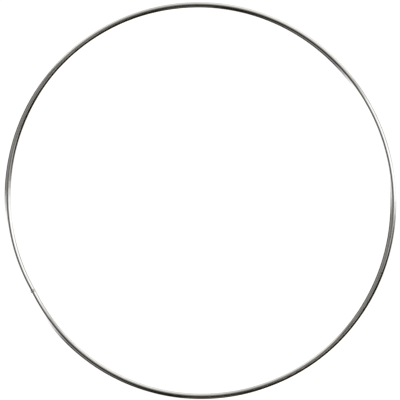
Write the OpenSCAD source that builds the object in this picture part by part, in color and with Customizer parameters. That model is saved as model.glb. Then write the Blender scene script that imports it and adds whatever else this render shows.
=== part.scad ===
// Wreath frame: one hoop of round steel wire, closed by one butt weld.
// The hoop lies flat in the XY plane, with +Z through the ring.
// The origin is the middle of the ring's outline, in the wire's mid-plane.
// Directions round the ring are degrees from +X, counter-clockwise seen from +Z.

/* [Hoop] */
// Outside diameter of the finished hoop, mean of all directions
ring_od = 200; // [100:5:400]
// Diameter of the round wire
wire_d = 3; // [2:0.1:5]

/* [Roundness] */
// Longest outside diameter minus the shortest, as the hoop springs out of round
oval = 1.6; // [0:0.1:4]
// Direction of the longest diameter
oval_dir = 99; // [0:1:179]
// How far three evenly spaced high points stand past the mean radius
lobe = 0.13; // [0:0.01:0.3]
// Direction of the first high point
lobe_dir = 86; // [0:1:119]

/* [Weld] */
// Direction of the weld, seen from the middle of the ring
weld_dir = 208; // [0:1:359]
// Straight stretch that the welding clamps leave, centred on the weld
straight = 6.4; // [5:0.2:12]
// Length of the fused metal between the two wire ends
weld_l = 1.6; // [1.2:0.1:3]
// How far the two low lips of the weld stand above the wire
lip_h = 0.06; // [0.02:0.01:0.3]
// Width of the seam groove between the two lips
seam_w = 0.3; // [0.2:0.05:0.5]
// Depth of the seam groove, below the top of the lips
seam_d = 0.1; // [0.05:0.01:0.2]

/* [Hidden] */

wire_r = wire_d / 2;

// The centreline is a closed, tangent-continuous run of ARCS arcs and the
// straight stretch. It is drawn with the weld on +X, and turned to weld_dir at
// the end. Each arc turns through the same angle. Its radius carries the
// ovality as a twice-round term, the lobes as a three-times-round term, and a
// once-round term that makes up for the straight stretch, so that the run closes
// on itself.
ARCS = 12;
turn = 360 / ARCS;
mean_r = (ring_od - wire_d) / 2 - straight / (2 * PI);
once_r = -straight / (ARCS * sin(turn / 2));
// Where the outline's reach varies by c, n times round, its radius of curvature
// varies by c (1 - n^2).
twice_r = -3 * oval / 4;
thrice_r = -8 * lobe;

function dir(a) = [cos(a), sin(a)];
function arc_r(k) = mean_r
    + twice_r * cos(2 * ((k + 0.5) * turn + weld_dir - oval_dir))
    + thrice_r * cos(3 * ((k + 0.5) * turn + weld_dir - lobe_dir))
    + once_r * cos((k + 0.5) * turn);
function chord(k) = arc_r(k) * (dir((k + 1) * turn) - dir(k * turn));

// Where arc k starts: the first one starts where the straight stretch ends
first_centre = [0, straight / 2];
arc_from = [for (k = 0, p = first_centre + arc_r(0) * dir(0);
                 k < ARCS;
                 p = p + chord(k), k = k + 1) p];
function arc_centre(k) = arc_from[k] - arc_r(k) * dir(k * turn);
weld_x = first_centre[0] + arc_r(0);

// How far the centreline reaches in direction a, with the weld turned to weld_dir
function wrap(a) = a - 360 * floor(a / 360);
function arc_at(a) = floor(wrap(a) / turn);
function reach(a) = arc_centre(arc_at(a - weld_dir)) * dir(a - weld_dir)
    + arc_r(arc_at(a - weld_dir));
middle = [reach(0) - reach(180), reach(90) - reach(270)] / 2;

// A move made in two steps, hundredths of a millimetre and then the remainder,
// so that neighbouring arcs meet exactly
function coarse(v) = [for (x = v) round(100 * x) / 100];
module exact_move(v) { translate(coarse(v)) translate(v - coarse(v)) children(); }

// Turns the drawn hoop to its place, with the middle of its outline at the origin
module placed() {
    translate([-middle[0], -middle[1], 0]) rotate([0, 0, weld_dir]) children();
}

// Half of the weld's outline, from the wire's end to the middle of the seam: a
// long low swell up to the lip, and a round-shouldered groove. Both start and end
// level, so the weld runs into the wire without an edge.
LIP_STEPS = 8;
GROOVE_STEPS = 6;
lip_top = seam_w / 2;
function swell(s) = lip_h * (1 - cos(180 * s)) / 2;
function groove(s) = lip_h - seam_d * (1 - cos(180 * s)) / 2;
half_weld = [
    for (i = [0 : LIP_STEPS]) let (s = i / LIP_STEPS)
        [wire_r + swell(s), -weld_l / 2 + s * (weld_l / 2 - lip_top)],
    for (i = [1 : GROOVE_STEPS]) let (s = i / GROOVE_STEPS)
        [wire_r + groove(s), -lip_top * (1 - s)]
];
other_half = [for (i = [len(half_weld) - 2 : -1 : 0])
    [half_weld[i][0], -half_weld[i][1]]];

// Puts a part drawn along Z at the weld, with Z turned along the wire
module at_weld() {
    exact_move([weld_x, 0, 0]) rotate([-90, 0, 0]) children();
}

// The length of wire, from one face of the weld round to the other
module hoop_wire() {
    color([0.78, 0.77, 0.74]) placed() {
        for (k = [0 : ARCS - 1])
            exact_move([arc_centre(k)[0], arc_centre(k)[1], 0])
                rotate_extrude(angle = turn, start = k * turn, $fn = 360)
                    exact_move([arc_r(k), 0]) circle(r = wire_r, $fn = 64);
        for (side = [-1, 1])
            at_weld() translate([0, 0, side < 0 ? -straight / 2 : weld_l / 2])
                cylinder(r = wire_r, h = (straight - weld_l) / 2, $fn = 64);
    }
}

// The fused metal between the wire ends: nearly flush with the wire, with a low
// lip on each side of the seam where the ends met
module butt_weld() {
    color([0.66, 0.65, 0.62]) placed() at_weld()
        rotate_extrude($fn = 64)
            polygon(concat([[0, -weld_l / 2]], half_weld, other_half, [[0, weld_l / 2]]));
}

hoop_wire();
butt_weld();
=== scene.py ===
# Wreath frame: one hoop of round plated steel wire, closed by a butt weld.
# Seen from straight above, lying on a white table in soft studio light.
import math
import random

import bpy
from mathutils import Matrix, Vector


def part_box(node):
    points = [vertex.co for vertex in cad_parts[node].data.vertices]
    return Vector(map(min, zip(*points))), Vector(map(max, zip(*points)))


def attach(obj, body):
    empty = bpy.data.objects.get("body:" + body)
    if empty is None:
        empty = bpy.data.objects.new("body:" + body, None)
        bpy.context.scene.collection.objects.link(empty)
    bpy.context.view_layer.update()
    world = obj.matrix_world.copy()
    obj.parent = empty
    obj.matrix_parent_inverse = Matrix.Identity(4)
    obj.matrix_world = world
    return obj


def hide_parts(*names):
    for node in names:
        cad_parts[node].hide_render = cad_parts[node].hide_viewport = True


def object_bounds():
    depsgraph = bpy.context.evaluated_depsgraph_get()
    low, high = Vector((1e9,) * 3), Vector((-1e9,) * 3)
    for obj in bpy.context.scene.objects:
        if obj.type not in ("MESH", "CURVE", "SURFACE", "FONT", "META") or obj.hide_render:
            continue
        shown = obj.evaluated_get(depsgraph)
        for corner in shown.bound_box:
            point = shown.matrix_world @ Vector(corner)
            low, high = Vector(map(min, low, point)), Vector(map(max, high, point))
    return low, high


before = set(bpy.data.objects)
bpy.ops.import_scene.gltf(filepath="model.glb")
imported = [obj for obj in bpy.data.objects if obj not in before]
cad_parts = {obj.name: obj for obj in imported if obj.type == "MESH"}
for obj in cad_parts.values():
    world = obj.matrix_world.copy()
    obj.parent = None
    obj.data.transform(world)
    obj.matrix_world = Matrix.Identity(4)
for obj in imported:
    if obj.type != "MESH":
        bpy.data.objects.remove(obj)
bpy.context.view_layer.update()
MM = 0.001

# ---------------------------------------------------------------- the hoop's centreline
# The same closed run as the CAD's: twelve arcs of one turning angle and the
# straight stretch at the weld, in millimetres.
RING_OD, WIRE_D = 200.0, 3.0
OVAL, OVAL_DIR = 1.6, 99.0
LOBE, LOBE_DIR = 0.13, 86.0
WELD_DIR, STRAIGHT = 208.0, 6.4
WELD_L, LIP_H, SEAM_W, SEAM_D = 1.6, 0.06, 0.3, 0.1
ARCS = 12
TURN = 2 * math.pi / ARCS
WIRE_R = WIRE_D / 2


def arc_r(k):
    mean = (RING_OD - WIRE_D) / 2 - STRAIGHT / (2 * math.pi)
    once = -STRAIGHT / (ARCS * math.sin(TURN / 2))
    twice, thrice = -3 * OVAL / 4, -8 * LOBE
    mid = (k + 0.5) * TURN
    return (
        mean
        + twice * math.cos(2 * (mid + math.radians(WELD_DIR - OVAL_DIR)))
        + thrice * math.cos(3 * (mid + math.radians(WELD_DIR - LOBE_DIR)))
        + once * math.cos(mid)
    )


def build_path():
    """Segments as (kind, start length, length, data), in the frame with the weld on +X."""
    segs, s = [], 0.0
    half = STRAIGHT / 2
    x0, y0 = arc_r(0), half
    segs.append(("line", s, half, (x0, 0.0)))
    s += half
    px, py = x0, y0
    for k in range(ARCS):
        r, a = arc_r(k), k * TURN
        cx, cy = px - r * math.cos(a), py - r * math.sin(a)
        segs.append(("arc", s, r * TURN, (cx, cy, r, a)))
        s += r * TURN
        px, py = cx + r * math.cos(a + TURN), cy + r * math.sin(a + TURN)
    segs.append(("line", s, half, (px, py)))
    return segs, s + half


SEGS, LENGTH = build_path()


def reach(direction):
    """How far the centreline reaches in a direction, weld turned to its place."""
    a = (direction - math.radians(WELD_DIR)) % (2 * math.pi)
    k = int(a // TURN) % ARCS
    cx, cy, r, _ = SEGS[k + 1][3]
    return cx * math.cos(a) + cy * math.sin(a) + r


MIDDLE = (
    (reach(0) - reach(math.pi)) / 2,
    (reach(math.pi / 2) - reach(3 * math.pi / 2)) / 2,
)
WELD = math.radians(WELD_DIR)


def on_path(s):
    """Point and outward direction angle of the centreline at length s from the weld."""
    s = s % LENGTH
    for kind, s0, length, data in SEGS:
        if s <= s0 + length + 1e-9:
            break
    t = s - s0
    if kind == "line":
        x, y, a = data[0], data[1] + t, 0.0
    else:
        cx, cy, r, a0 = data
        a = a0 + t / r
        x, y = cx + r * math.cos(a), cy + r * math.sin(a)
    c, w = math.cos(WELD), math.sin(WELD)
    return x * c - y * w - MIDDLE[0], x * w + y * c - MIDDLE[1], a + WELD


lo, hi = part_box("hoop_wire")
for axis, want in ((0, reach(0) + reach(math.pi)), (1, reach(math.pi / 2) + reach(3 * math.pi / 2))):
    got = (hi[axis] - lo[axis]) / MM
    assert abs(got - want - WIRE_D) < 0.1, f"the centreline differs from the CAD: {got} {want}"

# ---------------------------------------------------------------- mesh helpers
def make_object(name, verts, faces, uvs):
    """uvs maps a layer name to a list of (u, v) for each loop, in face order."""
    mesh = bpy.data.meshes.new(name)
    mesh.from_pydata(verts, [], faces)
    for layer, flat in uvs.items():
        mesh.uv_layers.new(name=layer, do_init=False).data.foreach_set("uv", flat)
    mesh.polygons.foreach_set("use_smooth", [True] * len(faces))
    mesh.validate()
    mesh.update()
    obj = bpy.data.objects.new(name, mesh)
    bpy.context.scene.collection.objects.link(obj)
    return obj


def wave(seed, count, low, high, size):
    """A smooth periodic wobble: count sines of whole frequency low to high, of rms size."""
    rng = random.Random(seed)
    terms = [
        (rng.randint(low, high), rng.uniform(0, 2 * math.pi), rng.uniform(0.4, 1.0))
        for _ in range(count)
    ]
    scale = size / math.sqrt(sum(a * a for _, _, a in terms) / 2)
    return lambda t: scale * sum(a * math.sin(f * t + p) for f, p, a in terms)


# ---------------------------------------------------------------- the wire
SIDES = 100
STRIPS = 8  # the bake lays the wire out in this many strips
TUBE_END = 0.45  # the tube ends inside the weld, this far from the seam
# The bend's slight unevenness in the ring's plane: how far the wire stands out (mm),
# how many times round, and the direction of the first high point
UNEVEN = ((0.024, 2, 106), (0.098, 4, 50), (0.030, 6, 21.5), (0.010, 8, 41.5))
drift_z = wave(5, 4, 2, 6, 0.05)  # how far the wire is from lying flat
girth = wave(7, 6, 9, 40, 0.003)  # drawn wire is round to about this
# The bending rolls leave the surface gently uneven, a few millimetres at a time
rolled = [wave(31 + i, 9, 60, 190, 0.0022) for i in range(4)]

rng = random.Random(11)
# Die lines: shallow grooves along the wire. Each has its place round the
# section, depth in millimetres, width, and how it comes and goes along the wire.
die_lines = [
    (
        rng.uniform(0, 2 * math.pi),
        rng.uniform(0.0005, 0.0020),
        rng.uniform(0.06, 0.16),
        rng.uniform(0, 2 * math.pi),
        rng.randint(1, 5),
        rng.uniform(-0.25, 0.25),
    )
    for _ in range(26)
]
ROUND = [2 * math.pi * j / SIDES for j in range(SIDES)]
# Where the welding clamps held the wire: from, to (mm from the seam), and how deep
CLAMP_MARKS = ((-4.6, -0.9, 0.014), (3.4, 7.2, 0.011))


def line_depth(v, t):
    total = 0.0
    for v0, depth, width, phase, waves, creep in die_lines:
        d = (v - v0 - creep * math.sin(t + phase) + math.pi) % (2 * math.pi) - math.pi
        if abs(d) < 3 * width:
            fade = 0.55 + 0.45 * math.sin(waves * t + phase)
            total += depth * fade * math.exp(-((d / width) ** 2))
    return total


def drift_out(a):
    return sum(size * math.cos(n * (a - math.radians(top))) for size, n, top in UNEVEN)


def smooth(x):
    x = min(1.0, max(0.0, x))
    return x * x * (3 - 2 * x)


def clamp_flat(r, t, v):
    """The radius at t mm from the seam, with the clamps' flats on top and underneath."""
    for start, end, deep in CLAMP_MARKS:
        if start < t < end:
            depth = deep * smooth((t - start) / 0.7) * smooth((end - t) / 0.7)
            over = r * abs(math.sin(v)) - (WIRE_R - depth)
            if over > 0:
                r -= over / abs(math.sin(v))
    return r


def stations():
    """Lengths along the wire, closer together near the weld, with one at each strip's end."""
    near, strip = 9.0, LENGTH / STRIPS
    stops = [TUBE_END, near] + [strip * i for i in range(1, STRIPS)]
    stops += [LENGTH - near, LENGTH - TUBE_END]
    out = [TUBE_END]
    for i in range(len(stops) - 1):
        at_end = i in (0, len(stops) - 2)
        n = 64 if at_end else round((stops[i + 1] - stops[i]) / 0.71)
        out += [stops[i] + (stops[i + 1] - stops[i]) * (j + 1) / n for j in range(n)]
    return out


def tube():
    verts, faces = [], []
    dist = stations()
    for s in dist:
        x, y, a = on_path(s)
        t = 2 * math.pi * s / LENGTH
        from_seam = s if s < LENGTH / 2 else s - LENGTH
        # The wobbles fade out at the weld, where the clamps held the wire true
        calm = smooth((abs(from_seam) - 1.0) / 14.0)
        x += drift_out(a) * math.cos(a)
        y += drift_out(a) * math.sin(a)
        z = calm * drift_z(t)
        grow = girth(t) * calm
        waves = [calm * w(t) for w in rolled]
        for v in ROUND:
            # Bending leaves the inside of the wire a touch flatter
            r = WIRE_R + grow - line_depth(v, t) - 0.006 * (1 + math.cos(2 * v)) / 2
            r += waves[0] * math.cos(v) + waves[1] * math.sin(v)
            r += waves[2] * math.cos(2 * v) + waves[3] * math.sin(2 * v)
            if abs(from_seam) < 8:
                r = clamp_flat(r, from_seam, v)
            rn = r * math.cos(v)
            verts.append(
                (
                    (x + rn * math.cos(a)) * MM,
                    (y + rn * math.sin(a)) * MM,
                    (z + r * math.sin(v)) * MM,
                )
            )
    uv_a, uv_b, uv_bake = [], [], []
    strip_len = LENGTH / STRIPS
    side = max(strip_len, STRIPS * math.pi * WIRE_D * 1.04)
    for i in range(len(dist) - 1):
        strip = min(STRIPS - 1, int((dist[i] + dist[i + 1]) / 2 / strip_len))
        for j in range(SIDES):
            k = (j + 1) % SIDES
            faces.append(
                (i * SIDES + j, (i + 1) * SIDES + j, (i + 1) * SIDES + k, i * SIDES + k)
            )
            for ii, jj in ((i, j), (i + 1, j), (i + 1, j + 1), (i, j + 1)):
                v = 2 * math.pi * jj / SIDES
                s = dist[ii]
                uv_a += (s * MM, WIRE_R * MM * math.cos(v))
                uv_b += (s * MM, WIRE_R * MM * math.sin(v))
                uv_bake += (
                    min(1.0, max(0.0, (s - strip * strip_len) / side)),
                    strip / STRIPS + 0.004 + (jj / SIDES) * (1 / STRIPS - 0.008),
                )
    # End faces, inside the weld
    for ring, order in ((0, 1), (len(dist) - 1, -1)):
        centre = len(verts)
        pts = verts[ring * SIDES : (ring + 1) * SIDES]
        verts.append(tuple(sum(p[c] for p in pts) / SIDES for c in range(3)))
        for j in range(SIDES):
            k = (j + 1) % SIDES
            tri = (centre, ring * SIDES + j, ring * SIDES + k)
            faces.append(tri if order > 0 else tri[::-1])
            for c in range(3):
                uv_a += (dist[ring] * MM, 0.0)
                uv_b += (dist[ring] * MM, 0.0)
                uv_bake += (0.9995 + 0.0004 * (c == 1), 0.9995 + 0.0004 * (c == 2))
    return make_object(
        "wire", verts, faces, {"OFBake": uv_bake, "WireA": uv_a, "WireB": uv_b}
    )


wire = tube()


# ---------------------------------------------------------------- the weld
# Fused metal between the wire ends, dressed nearly flush: a low swell on each
# side of a narrow seam, which is deepest on top, towards the ring's inside.
W_ALONG, W_ROUND = 112, 160
toe_path = (wave(22, 7, 2, 9, 0.05), wave(23, 7, 2, 9, 0.05))
swell_size = wave(21, 6, 1, 7, 0.18)
seam_path = wave(24, 6, 1, 6, 0.03)
dimples = wave(25, 9, 3, 16, 0.0022)
SEAM_BACK, SEAM_FRONT = 1.5 * SEAM_W, 1.1 * SEAM_W  # its long and its short wall


def weld_height(t, v):
    """Height above the wire in millimetres, at t along it from the seam."""
    toe = WELD_L / 2 + toe_path[0 if t < 0 else 1](v)
    u = abs(t) / toe
    if u >= 1:
        return -0.03 * smooth((u - 1) * 5)
    t0 = t + 0.18 - seam_path(v)  # it was forged a little off the middle
    wall = SEAM_BACK if t0 < 0 else SEAM_FRONT
    # The pit on top: v is 90 degrees there, and 180 on the ring's inside
    off = (v - math.radians(105) + math.pi) % (2 * math.pi) - math.pi
    pit = math.exp(-((off / 0.52) ** 2))
    deep = SEAM_D * (0.3 + 0.8 * pit)
    rise = LIP_H * (0.3 + 0.6 * swell_size(v)) * (1 - math.cos(math.pi * (1 - u))) / 2
    # Straight-sided with eased edges, as metal that was folded in at the seam
    x = min(1.0, abs(t0) / wall)
    dip = deep * (0.65 * (1 - x) + 0.35 * (1 + math.cos(math.pi * x)) / 2)
    return rise - dip + dimples(v + 4 * t) * smooth((1 - u) * 3)


def weld_mesh():
    x0, y0, a = on_path(0.0)
    out, along = (math.cos(a), math.sin(a)), (-math.sin(a), math.cos(a))
    x0, y0 = x0 + drift_out(a) * out[0], y0 + drift_out(a) * out[1]
    reach_t = WELD_L / 2 + 0.22
    verts, faces, uv_a, uv_b, uv_bake = [], [], [], [], []
    ts = [-reach_t + 2 * reach_t * i / (W_ALONG - 1) for i in range(W_ALONG)]
    for t in ts:
        for j in range(W_ROUND):
            v = 2 * math.pi * j / W_ROUND
            r = WIRE_R - 0.006 * (1 + math.cos(2 * v)) / 2 + weld_height(t, v)
            rn = r * math.cos(v)
            verts.append(
                (
                    (x0 + rn * out[0] + t * along[0]) * MM,
                    (y0 + rn * out[1] + t * along[1]) * MM,
                    r * math.sin(v) * MM,
                )
            )
    for i in range(W_ALONG - 1):
        for j in range(W_ROUND):
            k = (j + 1) % W_ROUND
            faces.append(
                (
                    i * W_ROUND + j,
                    (i + 1) * W_ROUND + j,
                    (i + 1) * W_ROUND + k,
                    i * W_ROUND + k,
                )
            )
            for ii, jj in ((i, j), (i + 1, j), (i + 1, j + 1), (i, j + 1)):
                v = 2 * math.pi * jj / W_ROUND
                uv_a += (ts[ii] * MM, WIRE_R * MM * math.cos(v))
                uv_b += (ts[ii] * MM, WIRE_R * MM * math.sin(v))
                uv_bake += (
                    0.01 + 0.24 * ii / (W_ALONG - 1),
                    0.01 + 0.97 * jj / W_ROUND,
                )
    for ring, order in ((0, 1), (W_ALONG - 1, -1)):
        centre = len(verts)
        pts = verts[ring * W_ROUND : (ring + 1) * W_ROUND]
        verts.append(tuple(sum(p[c] for p in pts) / W_ROUND for c in range(3)))
        for j in range(W_ROUND):
            k = (j + 1) % W_ROUND
            tri = (centre, ring * W_ROUND + j, ring * W_ROUND + k)
            faces.append(tri if order > 0 else tri[::-1])
            for c in range(3):
                uv_a += (ts[ring] * MM, 0.0)
                uv_b += (ts[ring] * MM, 0.0)
                uv_bake += (0.9 + 0.05 * (c == 1), 0.9 + 0.05 * (c == 2))
    return make_object(
        "weld", verts, faces, {"OFBake": uv_bake, "WireA": uv_a, "WireB": uv_b}
    )


weld = weld_mesh()
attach(wire, "root")
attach(weld, "root")
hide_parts("hoop_wire")
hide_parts("butt_weld")


# ---------------------------------------------------------------- materials
class Nodes:
    """Short ways to add nodes to a tree."""

    def __init__(self, tree):
        self.tree = tree
        tree.nodes.clear()

    def add(self, kind, inputs=(), out=0, **props):
        node = self.tree.nodes.new(kind)
        for key, value in props.items():
            setattr(node, key, value)
        for key, value in dict(inputs).items():
            if isinstance(value, bpy.types.NodeSocket):
                self.tree.links.new(value, node.inputs[key])
            else:
                node.inputs[key].default_value = value
        return node.outputs[out] if node.outputs else node

    def math(self, op, *values, clamp=False):
        return self.add(
            "ShaderNodeMath", enumerate(values), operation=op, use_clamp=clamp
        )

    def remap(self, value, a, b, c=0.0, d=1.0, kind="LINEAR"):
        return self.add(
            "ShaderNodeMapRange",
            {0: value, 1: a, 2: b, 3: c, 4: d},
            interpolation_type=kind,
        )

    def mix(self, factor, one, two):
        return self.add(
            "ShaderNodeMix", {0: factor, 6: one, 7: two}, out=2, data_type="RGBA"
        )

    def noise(self, vector, scale, detail=2.0, rough=0.5, out=0):
        return self.add(
            "ShaderNodeTexNoise",
            {"Vector": vector, "Scale": scale, "Detail": detail, "Roughness": rough},
            out=out,
        )


def wire_space(n, along):
    """A coordinate in millimetres that wraps round the wire without a seam, with length along it shrunk."""
    a = n.add("ShaderNodeUVMap", uv_map="WireA")
    b = n.add("ShaderNodeUVMap", uv_map="WireB")
    sa = n.add("ShaderNodeSeparateXYZ", {0: a}).node
    sb = n.add("ShaderNodeSeparateXYZ", {0: b}).node
    joined = n.add(
        "ShaderNodeCombineXYZ", {0: sa.outputs[0], 1: sa.outputs[1], 2: sb.outputs[1]}
    )
    mm = 1000.0
    return n.add(
        "ShaderNodeVectorMath",
        {0: joined, 1: (mm * along, mm, mm)},
        operation="MULTIPLY",
    )


def plated(name, bright, shade, gloss, dull, scratch, grain, filed=None):
    mat = bpy.data.materials.new(name)
    mat.use_nodes = True
    n = Nodes(mat.node_tree)
    # Die lines run along the wire, finer ones between the modelled grooves
    lines = n.noise(wire_space(n, 0.035), 5.5, 3.0, 0.6)
    hair = n.noise(wire_space(n, 0.012), 17.0, 2.0, 0.7)
    # Patches where the plating took a little thicker or thinner
    cloud = n.noise(wire_space(n, 0.55), 0.42, 3.0, 0.55)
    # Fine grain of the plated coat
    speck = n.noise(wire_space(n, 1.0), 9.0, 2.0, 0.6)
    # Short handling scratches, at a slant round the wire
    turned = n.add(
        "ShaderNodeVectorRotate",
        {"Vector": wire_space(n, 1.0), "Axis": (0.3, 1.0, 0.4), "Angle": 0.9},
        rotation_type="AXIS_ANGLE",
    )
    long = n.add(
        "ShaderNodeVectorMath", {0: turned, 1: (0.16, 2.6, 2.6)}, operation="MULTIPLY"
    )
    cut = n.remap(n.noise(long, 1.9, 1.0, 0.4), 0.70, 0.76, kind="SMOOTHSTEP")

    streak = n.remap(lines, 0.36, 0.64, kind="SMOOTHSTEP")
    patch = n.remap(cloud, 0.38, 0.66, kind="SMOOTHSTEP")
    tone = n.math("ADD", n.math("MULTIPLY", streak, 0.45), n.math("MULTIPLY", patch, 0.55))
    colour = n.mix(tone, (*shade, 1), (*bright, 1))
    colour = n.mix(n.math("MULTIPLY", cut, 0.25), colour, (0.62, 0.61, 0.60, 1))

    rough = n.remap(tone, 0.0, 1.0, dull, gloss)
    rough = n.math("ADD", rough, n.math("MULTIPLY", cut, 0.10))
    rough = n.math("ADD", rough, n.remap(speck, 0.3, 0.7, -0.02, 0.03))
    if filed:  # a stretch of the wire's top that was dressed with a file, and is matt
        start, end, matt = filed
        at = n.add("ShaderNodeSeparateXYZ", {0: wire_space(n, 1.0)}).node.outputs
        dressed = n.math(
            "MULTIPLY",
            n.remap(at[0], start - 0.06, start + 0.06, kind="SMOOTHSTEP"),
            n.remap(at[0], end - 0.06, end + 0.06, 1.0, 0.0, "SMOOTHSTEP"),
        )
        top = n.remap(at[2], 1.2, 1.4, kind="SMOOTHSTEP")
        dressed = n.math("MULTIPLY", dressed, top)
        rough = n.math("ADD", rough, n.math("MULTIPLY", dressed, matt))

    height = n.math(
        "ADD",
        n.math("MULTIPLY", lines, 0.0016),
        n.math("MULTIPLY", hair, 0.0008),
    )
    height = n.math("SUBTRACT", height, n.math("MULTIPLY", cut, 0.0012 * scratch))
    height = n.math("ADD", height, n.math("MULTIPLY", speck, 0.0006 * grain))
    bump = n.add(
        "ShaderNodeBump", {"Strength": 1.0, "Distance": 0.001, "Height": height}
    )
    shader = n.add(
        "ShaderNodeBsdfPrincipled",
        {
            "Base Color": colour,
            "Roughness": rough,
            "Metallic": 1.0,
            "Normal": bump,
        },
    )
    n.add("ShaderNodeOutputMaterial", {"Surface": shader})
    return mat


wire.data.materials.append(
    plated("plated_wire", (0.84, 0.825, 0.79), (0.76, 0.745, 0.71), 0.05, 0.11, 1.0, 1.0)
)
weld.data.materials.append(
    plated(
        "weld_metal",
        (0.76, 0.745, 0.71),
        (0.62, 0.605, 0.575),
        0.12,
        0.24,
        1.6,
        3.0,
        (-0.02, 0.62, 0.64),
    )
)


# ---------------------------------------------------------------- table, light and camera
def floor():
    lo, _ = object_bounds()
    n, half = 24, 6.0
    verts = [
        (-half + 2 * half * i / n, -half + 2 * half * j / n, lo.z - 0.00002)
        for i in range(n + 1)
        for j in range(n + 1)
    ]
    faces = [
        (i * (n + 1) + j, (i + 1) * (n + 1) + j, (i + 1) * (n + 1) + j + 1, i * (n + 1) + j + 1)
        for i in range(n)
        for j in range(n)
    ]
    obj = make_object("table", verts, faces, {})
    mat = bpy.data.materials.new("table")
    mat.use_nodes = True
    t = Nodes(mat.node_tree)
    # A lit white sheet, as a product table has, so that no shadow falls on it
    shader = t.add(
        "ShaderNodeBsdfPrincipled",
        {
            "Base Color": (0.12, 0.12, 0.12, 1),
            "Roughness": 0.9,
            "Specular IOR Level": 0.0,
            "Emission Color": (1, 1, 1, 1),
            "Emission Strength": 1.01,
        },
    )
    t.add("ShaderNodeOutputMaterial", {"Surface": shader})
    obj.data.materials.append(mat)
    obj.visible_glossy = False  # what the wire shows of its surroundings is set below
    return obj


table = floor()

# Soft panels round the table, each with its compass direction and half width, how
# soft its sides are, the band it fills down from overhead and how soft that is, all
# in degrees, and how bright it is. Overhead is left dark, which draws the thin dark
# line along the top of the wire.
DAYLIGHT = {
    "right": (15, 18, 5, 29, 40, 105, 47, 0.73),
    "right_low": (5, 5, 8, 88, 7, 180, 60, 0.53),
    "right_edge": (348, 5, 7, 16, 3, 37, 6, 0.52),
    "right_side": (7, 15, 9, 27, 6, 88, 39, 0.27),
    "near_left": (201, 18, 7, 47, 40, 180, 60, 1.21),
    "near_left_side": (222, 21, 16, 37, 15, 75, 22, 0.25),
}
ROOM = {
    "far": (88, 50, 6, 56, 37, 180, 60, 0.33),
    "far_wall": (58, 41, 39, 45, 60, 133, 10, 0.57),
    "near_low": (242, 13, 11, 139, 5, 180, 60, 1.12),
    "front": (273, 8, 2, 37, 6, 158, 3, 0.07),
    "glint_right": (325, 23, 12, 1, 8, 11, 4, 0.69),
    "glint_left": (148, 34, 10, 6, 4, 43, 6, 0.13),
}
WARM = {
    "left": (163, 21, 4, 43, 33, 101, 8, 0.24),
    "left_low": (128, 13, 13, 91, 9, 114, 3, 0.81),
    "table": (301, 42, 24, 120, 8, 180, 60, 1.53),
    "table_edge": (306, 21, 8, 92, 4, 124, 12, 0.81),
}
# Each group with its colour
PANELS = (
    (DAYLIGHT, (0.95, 0.965, 1.0)),
    (ROOM, (1.0, 0.995, 0.985)),
    (WARM, (1.0, 0.975, 0.925)),
    ({}, (1.0, 0.90, 0.76)),  # the dim rest of the room
)
AMBIENT = 0.012
METAL = 0.765  # what the plating gives back, so that panel levels are as seen in it


def studio():
    world = bpy.data.worlds.new("studio")
    world.use_nodes = True
    n = Nodes(world.node_tree)
    way = n.add("ShaderNodeTexCoord", out="Generated")
    parts = n.add("ShaderNodeSeparateXYZ", {0: way}).node.outputs
    compass = n.math("MULTIPLY", n.math("ARCTAN2", parts[1], parts[0]), 180 / math.pi)
    down = n.math("MULTIPLY", n.math("ARCCOSINE", parts[2]), 180 / math.pi)

    def glow(panels, level):
        for az, half, soft, top, top_soft, low, low_soft, bright in panels.values():
            off = n.math("SUBTRACT", compass, az)
            off = n.math("ABSOLUTE", n.math("WRAP", off, 180.0, -180.0))
            w = n.remap(off, max(half - soft, 0.0), half + soft, 1.0, 0.0, "SMOOTHSTEP")
            e = n.remap(down, top - top_soft, top + top_soft, 0.0, 1.0, "SMOOTHSTEP")
            w = n.math("MULTIPLY", w, e)
            if low < 180:
                e = n.remap(down, low - low_soft, low + low_soft, 1.0, 0.0, "SMOOTHSTEP")
                w = n.math("MULTIPLY", w, e)
            level = n.math("ADD", level, n.math("MULTIPLY", w, bright / METAL))
        return level

    light = None
    for panels, colour in PANELS:
        level = glow(panels, 0.0) if panels else AMBIENT / METAL
        part = n.add("ShaderNodeBackground", {"Color": (*colour, 1), "Strength": level})
        light = part if light is None else n.add("ShaderNodeAddShader", {0: light, 1: part})
    plain = n.add("ShaderNodeBackground", {"Color": (1, 1, 1, 1), "Strength": 1.04})
    ray = n.add("ShaderNodeLightPath", out="Is Camera Ray")
    both = n.add("ShaderNodeMixShader", {0: ray, 1: light, 2: plain})
    n.add("ShaderNodeOutputWorld", {"Surface": both})
    bpy.context.scene.world = world


studio()

view = bpy.context.scene.view_settings
view.view_transform = "Standard"
view.look = "None"
view.exposure, view.gamma = 0.0, 1.0

cam = bpy.data.cameras.new("camera")
camera = bpy.data.objects.new("camera", cam)
bpy.context.scene.collection.objects.link(camera)
cam.lens, cam.sensor_width = 800.0, 36.0
SPAN = 0.20272  # what the picture's side covers, in the ring's plane
camera.location = (-0.00023, 0.00043, SPAN * cam.lens / cam.sensor_width)
camera.rotation_euler = (0.0, 0.0, 0.0)
cam.clip_start, cam.clip_end = 0.05, 50.0
bpy.context.scene.camera = camera
